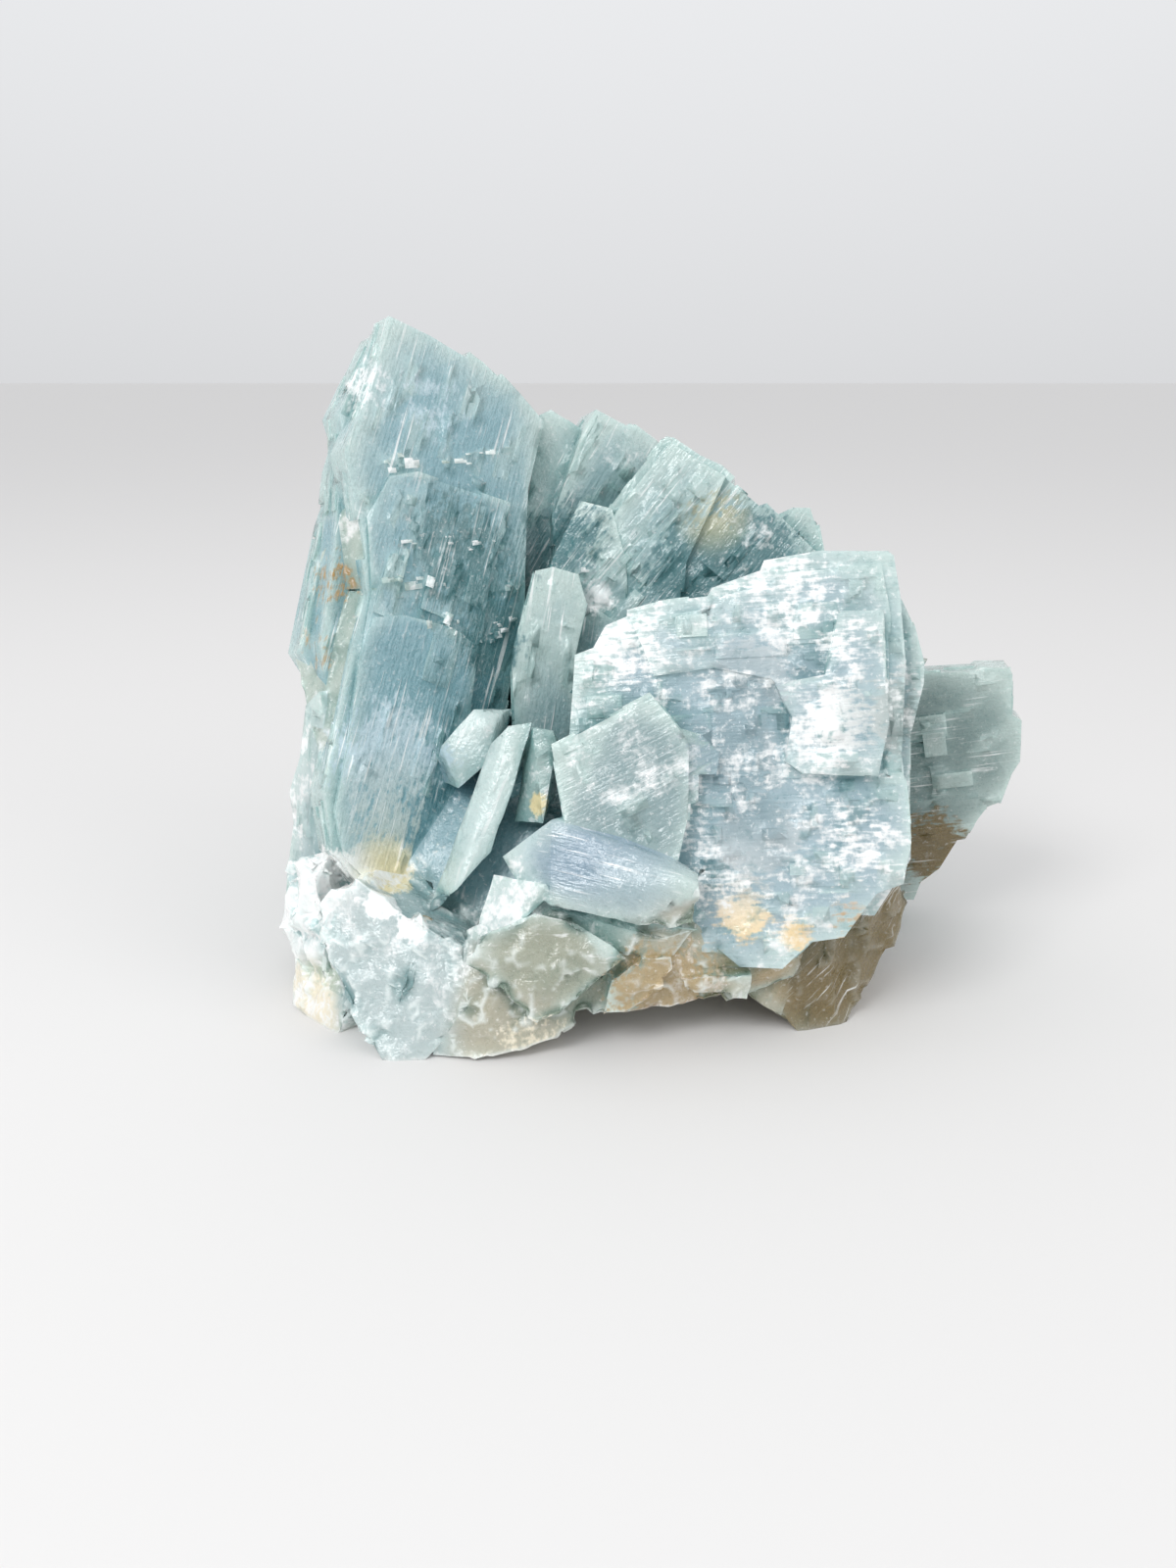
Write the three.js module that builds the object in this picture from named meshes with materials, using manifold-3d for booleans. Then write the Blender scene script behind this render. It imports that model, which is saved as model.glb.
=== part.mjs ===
// A blue barite specimen: tabular crystals fanned out of a broken base, grown together as one closed solid.
// Millimetres, +Z up. The open side of the fan looks along -Y, and the base stands on its feet at Z = 0.
import * as THREE from "three";
import { ConvexGeometry } from "three/addons/geometries/ConvexGeometry.js";
import { mergeVertices } from "three/addons/utils/BufferGeometryUtils.js";
import Module from "manifold-3d";

const wasm = await Module();
wasm.setup();

// Growth: how deep leaves sit in each other, and the steps along their edges and over their faces
const LEAF_OVERLAP = 0.4;
const STEP_PITCH = 5.5;
const STEP_BITE = 0.5;
const LEDGE_HEIGHT = [0.1, 0.28];
const LEDGE_ROOT = 0.5;
const LEDGE_TRIES = 40;
const SEED = 7;

// The table plane cuts the feet flat
const TABLE = { width: 200, depth: 60 };

// Each blade's face passes through `at`, turned to the right and leaning back by degrees, with growth lines at
// `grain` degrees. Its leaves are outlines in that face, u to the right and v up, from `front` ahead of the face
// to `back` behind it. `ledges` counts the small steps scattered over a leaf's front.
const BLADES = {
  tall_left: {
    at: [-27, -10, 8.5], turn: 40, lean: 12, grain: 62,
    leaves: [
      { front: 0, back: 3, ledges: 4, outline: [
        [8.3, 64.6], [4.6, 57], [0.2, 51], [0.4, 48], [0, 36], [-2.7, 31], [-6.7, 21.4], [-9, 16], [-9.2, 9.5],
        [-5.7, 2.9], [1.3, -0.4], [12.5, 12], [20, 29.6], [23.5, 45.5], [27.2, 53.1], [24, 56.6], [22, 58.6],
        [21.3, 58.2], [18, 61], [17.3, 60.4], [13.2, 62.6]] },
      { front: 0.3, back: 0, ledges: 3, outline: [
        [5, 48], [1.5, 44], [0.5, 36], [-2, 30], [10, 24], [14, 30], [16.5, 37.4], [19.2, 41], [20.5, 44.1],
        [8.6, 48.3]] },
      { front: 0.7, back: 0, ledges: 2, outline: [
        [3.7, 33.2], [0, 33.4], [-2.6, 29], [-5.8, 20], [-8.4, 14], [-8.4, 9], [-5, 3.6], [1, 0], [8, 8],
        [10.5, 22], [12.8, 28.4], [9, 31.2]] },
      { front: -3, back: 6, outline: [
        [8, 63.4], [5, 59.4], [2.2, 55.2], [2, 52.8], [0.8, 48.5], [-1.5, 40.5], [-4.8, 31.6], [-5.2, 28],
        [-4.6, 20.5], [-8, 10], [-2, 2], [14, 4], [24, 30], [26.6, 52], [20, 57.6], [13, 61.4]] },
      { front: -6, back: 9, outline: [
        [8.1, 61.8], [6.2, 59.6], [3.2, 55.6], [3.6, 52.9], [1.9, 47.3], [0, 44.2], [-3.1, 37.2], [-5.9, 30.7],
        [-4.8, 28.1], [-2.4, 21], [-5, 8], [10, 2], [23, 26], [25.4, 48], [19, 56], [12, 60]] },
    ],
  },
  rear_peaks: {
    at: [-12, 17, 61.7], turn: 20, lean: 12, grain: 55,
    leaves: [
      { front: -1.4, back: 6, ledges: 2, outline: [
        [0, 0.3], [-1.9, -0.5], [-5, -14], [-6, -36], [12, -36], [10, -8], [3.6, -2.1]] },
      { front: 0, back: 5, ledges: 4, outline: [
        [5.3, 0], [3.6, -2.1], [-1, -12], [-4, -34], [17, -34], [17, -9], [13.1, -3.9], [11.4, -2.7], [9.6, -1.7],
        [9.2, -2]] },
    ],
  },
  rear_fan: {
    at: [-5.7, 10, 50.9], turn: -8, lean: 14, grain: 52,
    leaves: [
      { front: 0, back: 5, ledges: 4, outline: [
        [6.5, 8.4], [0, 0], [-2.4, -5], [-4, -28], [24, -28], [25, -5], [19.5, 0], [18.4, 1], [17.5, 0.7],
        [14.2, 3.3], [14.6, 3.9], [13.1, 5.2], [10.5, 6.3], [7.5, 8.2]] },
      { front: 0.9, back: 0, outline: [
        [-3.2, 0.8], [-6.4, -6.4], [-8.3, -15], [-8, -24], [4, -24], [2.5, -6], [0.6, 0]] },
      { front: 0.7, back: 0, ledges: 2, outline: [
        [7.2, 7.6], [1.6, 0.4], [-0.5, -3], [0, -24], [9, -24], [9.5, -6], [13.6, 3.8], [10.4, 5.6]] },
      { front: -1.2, back: 6.5, outline: [
        [21.4, 0.7], [18, -1], [10, -12], [10, -30], [27, -30], [26, -8], [24.8, -3.2], [23.4, 0.7]] },
    ],
  },
  small_arched: {
    at: [-12, 4, 45.2], turn: 5, lean: 14, grain: 80,
    leaves: [
      { front: 0, back: 6, outline: [
        [0, 0], [-2, -0.4], [-3.4, -5.2], [-5, -11], [-5, -22], [3, -22], [2.3, -10.3], [3.8, -4.3], [2.9, -0.9]] },
      { front: -2.4, back: 8, outline: [
        [5, -4.6], [1, -8], [0, -24], [12, -24], [11, -9]] },
    ],
  },
  broad_right: {
    at: [8, -22, 14.6], turn: -5, lean: 25, grain: 4,
    leaves: [
      { front: 0, back: 4, ledges: 8, outline: [
        [-18.7, 16.6], [-18.4, 26.1], [-16.5, 26.9], [-15.3, 29.3], [-13.1, 30.3], [-13.1, 31], [-10.4, 31.8],
        [-4.8, 32.6], [-4.3, 33.5], [0.6, 35.4], [1, 36.5], [6.7, 37.6], [13.7, 37.7], [14.3, 37.2], [15, 33],
        [15.7, 26], [15.4, 16.5], [16.5, 7.6], [15.8, 3.4], [13.1, 2.3], [10, -2.2], [6.7, -2.8], [3.9, -5.6],
        [-0.4, -5.6], [-6, -1.2], [-17.4, 7.4]] },
      { front: 0.35, back: 0, ledges: 4, outline: [
        [-12.6, 29.8], [-4.6, 31.2], [-4, 32.2], [1.2, 34], [1.6, 35.4], [13, 36.2], [14, 31], [14.4, 20],
        [6, 20.5], [2, 24], [-4, 25], [-10, 24]] },
      { front: 1.2, back: 0, ledges: 3, outline: [
        [8.7, 31], [13.2, 31.2], [13.9, 19.6], [12.9, 14.2], [5.4, 14.2], [3.6, 15.4], [4.2, 20], [2.4, 23.3],
        [7.4, 24.4]] },
      { front: -3.6, back: 8, outline: [
        [-16, 20], [-15, 27], [-2, 31.5], [8, 35.6], [14.8, 35.2], [16, 33.2], [17.3, 30.4], [18.3, 26.6],
        [18.3, 24.6], [17, 19], [17.2, 6], [13.6, 0], [-8, 0], [-16, 8]] },
      { front: -7.4, back: 13, ledges: 3, outline: [
        [-14, 18], [-11, 26], [2, 29], [12, 31], [15.6, 28], [16, 8], [11, -2], [-12, 2]] },
    ],
  },
  inset_rhomb: {
    at: [-8, -15.6, 30], turn: -5, lean: 27, grain: 28,
    leaves: [
      { front: 0, back: 5, ledges: 2, outline: [
        [-3.8, 0.3], [-2, -8], [9.4, -12], [10.4, -6.8], [10.3, 0.6], [9.8, 1.6], [6.1, 6]] },
      { front: -0.9, back: 5, outline: [
        [9, 2.6], [9, -6], [11.4, -5], [11.4, -2.2], [13.2, -2.2], [13.4, 0], [11.5, 1.9]] },
    ],
  },
  rear_right: {
    at: [37, 1, 24.8], turn: -12, lean: 4, grain: 12,
    leaves: [
      { front: 0, back: 4.5, ledges: 6, outline: [
        [-5.9, 8.2], [-15, 7.6], [-16, -18], [-8, -20.4], [-4.5, -20.1], [-3.9, -17.7], [-1.9, -15.7],
        [-0.2, -11.9], [0.7, -11.7], [1.9, -9], [2.8, -7.4], [4.2, -6.7], [4.9, -3.6], [5.8, -1.6], [5.4, 3.3],
        [4.1, 4], [3.8, 8.6], [3.3, 9.4], [0, 9.2], [-0.4, 8.8]] },
      { front: -4, back: 9, ledges: 3, outline: [
        [-6, 7], [-17, 6], [-18, -18], [-6, -19], [-3, -14], [1, -9], [3.6, -4], [4.6, 1], [2.8, 7.4]] },
    ],
  },
  left_flank: {
    at: [-39, -9, 14], turn: -40, lean: 6, grain: 84,
    leaves: [
      { front: 0, back: 6, ledges: 2, outline: [
        [1, 20], [-1.4, 18], [-2.4, 12], [-4.4, 7.4], [-3.6, 4], [-5, -3], [-4.6, -10], [4, -12], [1.6, 18]] },
      { front: -2.6, back: 10, ledges: 2, outline: [
        [0, 22], [-3, 17], [-6, 9], [-7, -10], [2, -11], [2, 21]] },
    ],
  },
  tall_back: {
    at: [-32.7, -3.3, 6.6], turn: 220, lean: -12, grain: 118,
    leaves: [
      { front: 1.2, back: 0, ledges: 4, outline: [
        [-7, 58], [-2.5, 50], [2, 36], [4, 26], [-2, 14], [-14, 16], [-21, 30], [-22, 44], [-16, 53]] },
      { front: 2.4, back: 0, ledges: 2, outline: [
        [-4, 40], [2, 33], [2.6, 25], [-3, 15], [-12, 18], [-17, 28], [-12, 38]] },
    ],
  },
  peaks_back: {
    at: [-14, 22.5, 60.4], turn: 200, lean: -12, grain: 125,
    leaves: [
      { front: 1.2, back: 0, ledges: 3, outline: [
        [1, -3], [4.5, -14], [3, -26], [-9, -28], [-14, -16], [-12, -7], [-5, -5]] },
    ],
  },
  fan_back: {
    at: [-4.8, 16.2, 49.3], turn: 172, lean: -14, grain: 128,
    leaves: [
      { front: 1, back: 1, ledges: 3, outline: [
        [-8, 5], [-3, -3], [-4, -20], [-20, -22], [-24, -10], [-20, -2], [-13, 3]] },
    ],
  },
  back_shield: {
    at: [-2, 23, 6], turn: 172, lean: 14, grain: 60,
    leaves: [
      { front: 0, back: 8, ledges: 6, outline: [
        [-20, -4], [16, -4], [19, 14], [12, 27], [9, 26.4], [2, 34], [-1, 33], [-8, 36], [-16, 22]] },
      { front: 1.6, back: 0, ledges: 4, outline: [
        [-15, -3], [7, -4], [10, 10], [4, 21], [2, 20.4], [-5, 28], [-12, 18]] },
      { front: -3, back: 9, outline: [
        [-10, 10], [-26, 12], [-27, 24], [-22, 31], [-12, 34]] },
    ],
  },
  back_wing: {
    at: [22, 15, 8], turn: 140, lean: 20, grain: 40,
    leaves: [
      { front: 0, back: 7, ledges: 5, outline: [
        [-12, -6], [14, -6], [15, 8], [9, 18], [7, 17], [0, 25], [-7, 24], [-13, 12]] },
      { front: 1.2, back: 0, ledges: 3, outline: [
        [-9, -4], [5, -5], [7, 6], [2, 14], [-1, 13.4], [-6, 17], [-10, 8]] },
    ],
  },
};

// Broken crystals of the base and the small prisms, each the hull of its corners
const CHUNKS = {
  core: [
    [-36, -8, 2], [-37, -10, 12], [-30, 6, 3], [-30, 2, 24], [-15, -10, 19], [-12, 16, 24], [12, -12, 20],
    [24.4, 8, 28], [24, -10, 6], [20, 16, 5], [-18, 20, 5], [-16, -19, 6], [8, -19, 7], [7, -19, 11.4],
    [15, -18, 12.6]],
  front_foot: [
    [-35.2, -18, 15.4], [-32.4, -17.6, 16], [-26, -20, 11.8], [-21, -22, 10.6], [-36.3, -20, 12], [-34, -23, 6],
    [-31, -25.2, 2.4], [-28.6, -27, -0.6], [-25.4, -26.8, -0.6], [-20.6, -25.5, 3.6], [-20.4, -24.5, 7],
    [-30, -8, 14], [-18, -10, 8], [-22, -16, -1], [-34, -16, -1]],
  snow_lump: [
    [-41.6, -10, 15], [-37, -16.4, 15.6], [-36, -11, 17], [-42.6, -12, 8], [-39.4, -17, 8], [-42, -9, 4],
    [-36, -19, 9], [-37, -18, 3], [-32, -10, 4]],
  flank_top: [
    [-29.5, 5.5, 70.7], [-31.2, 2.3, 64.2], [-33.3, -1.1, 58.5], [-32.6, -1.9, 53.4], [-34.5, 11.5, 66.7],
    [-35.5, 10.1, 64.8], [-37.3, 7.5, 60.9], [-37.1, 5.5, 53.3], [-29.3, 6.7, 56.6]],
  flank_middle: [
    [-32.7, -1.7, 54.4], [-31.7, -3.7, 44.2], [-37.2, 5.3, 52.5], [-38.2, 3.7, 49.7], [-39.7, 0.6, 43.1],
    [-30.3, 3.2, 46.8]],
  flank_low: [
    [-31.7, -3.8, 43.9], [-33.2, -6.5, 38.8], [-34.9, -10.5, 29.4], [-35.6, -12.8, 23.1], [-39.6, 0.5, 42.9],
    [-40.8, -2.2, 36.6], [-39.6, -1.8, 34.1], [-37, -1.6, 27.2], [-29.9, -0.3, 33.1]],
  left_foot: [
    [-40.8, -16.6, 0.4], [-40, -12, -1], [-38.8, -17, 4.2], [-42, -10, 5], [-37, -20, 1.4], [-35, -21.6, -1],
    [-33, -22, 4], [-36, -14, 8], [-28, -16, -1], [-34, -4, 2]],
  sill_left: [
    [-20.6, -21, 12], [-12, -21, 17], [-6, -22, 15], [-20.4, -25.6, 6], [-18.9, -27, 0.4], [-24, -26, 0.2],
    [-14.3, -26.4, 1.2], [-9.3, -25, 2.6], [-10, -24, 9], [-22, -12, 2], [-8, -12, 8], [-14, -12, 3]],
  sill_flake: [
    [-19.2, -24.6, 13.1], [-13.4, -23.6, 15.2], [-9.7, -24, 14.7], [-5.6, -24.6, 12.2], [-4.1, -25, 10.9],
    [-7.6, -26, 8.7], [-10.7, -26.8, 5.1], [-13.2, -27, 4.4], [-15.4, -26.6, 8.5], [-20.3, -25.4, 10.4],
    [-14, -18, 12], [-9, -18, 9]],
  sill_knob: [
    [-5.6, -25.2, 8.5], [-2.6, -24.6, 10.8], [0.5, -24.4, 10.7], [0.8, -24.6, 9.3], [-1.5, -24.8, 5.9],
    [-4.3, -25.2, 4.7], [-6.6, -25.4, 4.5], [-4, -18, 9], [0, -18, 9]],
  sill_lip: [
    [1, -24.8, 8.6], [8.8, -24.2, 8.5], [8.5, -23.8, 5.3], [2.1, -24.6, 6.9], [2, -18, 9], [8, -18, 9]],
  sill_middle: [
    [-11, -24.6, 8], [-4, -22.6, 14.4], [2, -22, 14], [8, -23.4, 10], [-6, -24.2, 3.6], [2, -23.2, 5.7],
    [8.7, -22.4, 4.8], [-9, -24.4, 4], [-8, -10, 9], [10, -10, 9], [2, -10, 8]],
  right_foot: [
    [25.4, -14, 14.4], [28, -13, 11.2], [27, -14, 8.4], [23, -17, 4.6], [20.6, -18.6, 2], [19.4, -20, -0.8],
    [15.4, -21.2, -0.8], [12.6, -21.4, 1.8], [8.7, -21.4, 4.4], [17, -20, 11], [8, -19, 10], [28, -2, 8],
    [24, -6, 1], [14, -10, 1.5], [16, -8, 14]],
  right_sill: [
    [2, -23, 6], [4, -23.6, 9], [11, -23.4, 8.8], [14.6, -22.4, 10.4], [9, -22.2, 5], [13.6, -21.8, 6.6],
    [3, -16, 12], [16, -16, 12]],
  rear_left_foot: [
    [-32, 2, -1], [-26, 12, -1], [-20, 4, -1], [-34, -2, 10], [-27, 14, 12], [-14, 18, 14], [-16, 12, 2]],
  rear_right_foot: [
    [20, 8, -1], [12, 18, -1], [24, 16, -1], [28, 8, 10], [22, 20, 12], [4, 20, 14], [8, 12, 3], [27, 0, 6]],
  rear_rubble_left: [
    [-33, 6, 8], [-29, 14, 6], [-22, 21, 9], [-31, 10, 19], [-23, 17, 22], [-16, 20, 16], [-20, 10, 5],
    [-24, 16, 3]],
  rear_rubble_right: [
    [-8, 22, 2], [2, 27, 4], [8, 24, 3], [-5, 25.6, 10], [5, 25, 12], [-2, 20, 14], [10, 18, 10], [0, 16, 2]],
  lavender_slab: [
    [-17, -17, 18.5], [-11.7, -18.6, 23.4], [-4.2, -21, 21.8], [2.9, -23.5, 19.5], [-16.1, -18.5, 17.6],
    [-4.1, -24.4, 18.4], [2.8, -25.4, 19.2], [2.9, -24.9, 14.4], [0.1, -25.2, 14], [-11.8, -23, 15.8],
    [-14.6, -20.4, 16.2], [-14, -12, 14], [-7, -15, 23], [2, -15, 16]],
  slab_root: [
    [-12.6, -21.8, 15], [-5.6, -23.4, 11.2], [-0.1, -24.3, 12.7], [3, -23.6, 13.4], [0.8, -23.8, 10.4],
    [-4, -24, 10.6], [-10, -22.6, 10], [-13, -14, 9], [3, -14, 9]],
  white_chip: [
    [-17.8, -18.6, 17.2], [-12.2, -22.4, 17.9], [-11.8, -22.2, 16.6], [-20.2, -22, 10.6], [-17, -23.4, 12],
    [-18, -14, 12], [-10, -14, 12]],
  pale_lath: [
    [-18.6, -9, 28.3], [-16.6, -9.2, 30.4], [-14, -9, 30.8], [-15.8, -12, 24.9], [-18.4, -15, 18.1],
    [-21.9, -16.8, 14.6], [-25.3, -15.5, 11.4], [-21.4, -13.5, 18.9], [-14.6, -5, 27], [-22, -9, 12]],
  blunt_tip: [
    [-24.3, -6.5, 27.2], [-20.7, -5, 31], [-18.3, -6, 30.4], [-16.6, -3.4, 30.6], [-18.9, -8, 25.9],
    [-22.4, -8, 22.6], [-18, 3, 24], [-26, -2, 22]],
  grey_stub: [
    [-15, -8, 27], [-14, -9, 30.2], [-11.8, -9, 29.8], [-11.4, -10, 28.8], [-12.8, -14, 21], [-16, -11, 20],
    [-10, -4, 24]],
};

// A small repeatable random series
function series(seed) {
  let state = seed;
  return () => {
    state = (Math.imul(state, 1664525) + 1013904223) >>> 0;
    return state / 4294967296;
  };
}

// A closed geometry as a solid
function solid(geometry) {
  const bare = geometry.index ? geometry.toNonIndexed() : geometry;
  bare.deleteAttribute("normal");
  bare.deleteAttribute("uv");
  const merged = mergeVertices(bare, 1e-4);
  return new wasm.Manifold(new wasm.Mesh({
    numProp: 3,
    vertProperties: new Float32Array(merged.attributes.position.array),
    triVerts: new Uint32Array(merged.index.array),
  }));
}

// A blade's own axes: u along its face, v up its face, and its outward normal
function bladeMatrix({ at, turn, lean }) {
  const yaw = THREE.MathUtils.degToRad(turn);
  const pitch = THREE.MathUtils.degToRad(lean);
  const normal = new THREE.Vector3(
    Math.sin(yaw) * Math.cos(pitch), -Math.cos(yaw) * Math.cos(pitch), Math.sin(pitch));
  const across = new THREE.Vector3(Math.cos(yaw), Math.sin(yaw), 0);
  const up = new THREE.Vector3().crossVectors(normal, across);
  return new THREE.Matrix4().makeBasis(across, up, normal).setPosition(...at);
}

// An outline whose long edges go in and out by small growth steps
function stepped(outline, random) {
  const corners = outline.map(([u, v]) => new THREE.Vector2(u, v));
  if (THREE.ShapeUtils.isClockWise(corners)) corners.reverse();
  const points = [];
  corners.forEach((corner, i) => {
    const next = corners[(i + 1) % corners.length];
    const along = next.clone().sub(corner);
    const inward = new THREE.Vector2(-along.y, along.x).normalize();
    const steps = Math.floor(along.length() / STEP_PITCH);
    points.push(corner);
    let bite = 0;
    for (let step = 1; step <= steps; step++) {
      const place = corner.clone().addScaledVector(along, (step - 0.35 + 0.3 * random()) / (steps + 0.4));
      const nextBite = step === steps ? 0 : STEP_BITE * random();
      points.push(place.clone().addScaledVector(inward, bite));
      points.push(place.clone().addScaledVector(inward, nextBite));
      bite = nextBite;
    }
  });
  return points;
}

function inside(point, outline) {
  let within = false;
  outline.forEach(([u, v], i) => {
    const [nextU, nextV] = outline[(i + 1) % outline.length];
    const crosses = (v > point.y) !== (nextV > point.y);
    if (crosses && point.x < u + (nextU - u) * (point.y - v) / (nextV - v)) within = !within;
  });
  return within;
}

// Low slabs on a leaf's front, squared to the growth lines and clear of the leaf's edge
function ledges({ outline, front, ledges: count = 0 }, grain, random) {
  const box = new THREE.Box2().setFromPoints(outline.map(([u, v]) => new THREE.Vector2(u, v)));
  const turn = THREE.MathUtils.degToRad(grain);
  const slabs = [];
  for (let tries = 0; slabs.length < count && tries < LEDGE_TRIES * count; tries++) {
    const centre = new THREE.Vector2(
      THREE.MathUtils.lerp(box.min.x, box.max.x, random()), THREE.MathUtils.lerp(box.min.y, box.max.y, random()));
    const long = 2 + 6 * random();
    const wide = 1 + 3 * random();
    const height = THREE.MathUtils.lerp(...LEDGE_HEIGHT, random());
    const corners = [[1, 1], [1, -1], [-1, 1], [-1, -1]].map(([a, b]) =>
      new THREE.Vector2(a * long / 2, b * wide / 2).rotateAround(new THREE.Vector2(), turn).add(centre));
    if (!corners.every((corner) => inside(corner, outline))) continue;
    slabs.push(new THREE.BoxGeometry(long, wide, height + LEDGE_ROOT)
      .rotateZ(turn)
      .translate(centre.x, centre.y, front + (height - LEDGE_ROOT) / 2));
  }
  return slabs;
}

// The leaves and ledges of one blade, in place
function bladeSolids(blade, random) {
  const place = bladeMatrix(blade);
  return blade.leaves.flatMap((leaf) => {
    const depth = leaf.front + leaf.back + LEAF_OVERLAP;
    const slab = new THREE.ExtrudeGeometry(
      new THREE.Shape(stepped(leaf.outline, random)), { depth, bevelEnabled: false, steps: 1 })
      .translate(0, 0, leaf.front - depth);
    return [slab, ...ledges(leaf, blade.grain, random)].map((shape) => solid(shape.applyMatrix4(place)));
  });
}

function chunkSolid(corners) {
  return solid(new ConvexGeometry(corners.map((corner) => new THREE.Vector3(...corner))));
}

// Everything grown together, cut flat by the table and centred over the origin
function clusterGeometry() {
  const random = series(SEED);
  const grown = [
    ...Object.values(CHUNKS).map(chunkSolid),
    ...Object.values(BLADES).flatMap((blade) => bladeSolids(blade, random)),
  ].reduce((whole, piece) => whole.add(piece));
  const table = solid(new THREE.BoxGeometry(TABLE.width, TABLE.width, TABLE.depth)
    .translate(0, 0, -TABLE.depth / 2));
  const { vertProperties, triVerts } = grown.subtract(table).getMesh();
  const geometry = new THREE.BufferGeometry();
  geometry.setAttribute("position", new THREE.BufferAttribute(vertProperties, 3));
  geometry.setIndex(new THREE.BufferAttribute(triVerts, 1));
  geometry.computeBoundingBox();
  const middle = geometry.boundingBox.getCenter(new THREE.Vector3());
  geometry.translate(-middle.x, -middle.y, 0);
  geometry.computeVertexNormals();
  return geometry;
}

const cluster = new THREE.Mesh(
  clusterGeometry(),
  new THREE.MeshStandardMaterial({ color: 0x9fbdc0, roughness: 0.45, metalness: 0, flatShading: true }));
cluster.name = "barite_cluster";

const specimen = new THREE.Group();
specimen.add(cluster);

export default specimen;
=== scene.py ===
# A pale blue barite specimen: tabular crystals fanned out of a broken, iron-stained base.
import math
import random

import bmesh
import bpy
import numpy as np
from mathutils import Matrix, Vector, noise
from mathutils.bvhtree import BVHTree


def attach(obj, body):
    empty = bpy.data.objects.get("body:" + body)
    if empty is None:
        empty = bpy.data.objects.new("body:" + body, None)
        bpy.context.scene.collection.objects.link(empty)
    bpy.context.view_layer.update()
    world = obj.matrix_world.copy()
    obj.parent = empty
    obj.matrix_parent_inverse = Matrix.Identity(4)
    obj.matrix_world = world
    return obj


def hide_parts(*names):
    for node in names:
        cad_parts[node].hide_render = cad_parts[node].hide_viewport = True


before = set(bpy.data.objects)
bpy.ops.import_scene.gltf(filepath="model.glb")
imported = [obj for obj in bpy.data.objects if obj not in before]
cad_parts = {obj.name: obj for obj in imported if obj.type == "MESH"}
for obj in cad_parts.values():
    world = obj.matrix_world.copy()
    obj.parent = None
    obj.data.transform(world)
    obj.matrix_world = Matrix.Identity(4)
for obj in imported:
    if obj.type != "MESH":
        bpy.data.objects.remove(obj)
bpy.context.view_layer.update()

MM = 0.001
MM2_PER_CM2 = 100
HALF = (0.5, 0.5, 0.5)
SEED = 11

# Colours, as linear light
COLOURS = {
    "teal": (0.21, 0.39, 0.44),
    "grey_teal": (0.24, 0.39, 0.41),
    "shade_teal": (0.085, 0.21, 0.225),
    "dusk": (0.18, 0.27, 0.26),
    "ice": (0.46, 0.61, 0.67),
    "pale": (0.52, 0.63, 0.64),
    "glass": (0.46, 0.55, 0.55),
    "frosted": (0.34, 0.46, 0.51),
    "slate": (0.24, 0.34, 0.35),
    "broken": (0.45, 0.43, 0.33),
    "umber": (0.42, 0.32, 0.17),
    "sage": (0.33, 0.35, 0.27),
    "willow": (0.46, 0.54, 0.48),
    "lavender": (0.28, 0.40, 0.50),
    "blue_grey": (0.23, 0.33, 0.41),
    "steel": (0.24, 0.345, 0.385),
    "olive": (0.17, 0.12, 0.035),
    "snow": (0.94, 0.95, 0.94),
    "beige": (0.86, 0.79, 0.62),
    "straw": (0.84, 0.73, 0.42),
    "rust": (0.42, 0.24, 0.055),
    "cream": (0.82, 0.64, 0.36),
    "thin_edge_glow": (0.58, 0.70, 0.66),
    "frost_and_highlight_edge": (0.86, 0.92, 0.90),
    # shade: a painted shade that darkens the recesses, and the dark of the milky veils
    "shade": (0.46, 0.62, 0.63),
}

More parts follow.
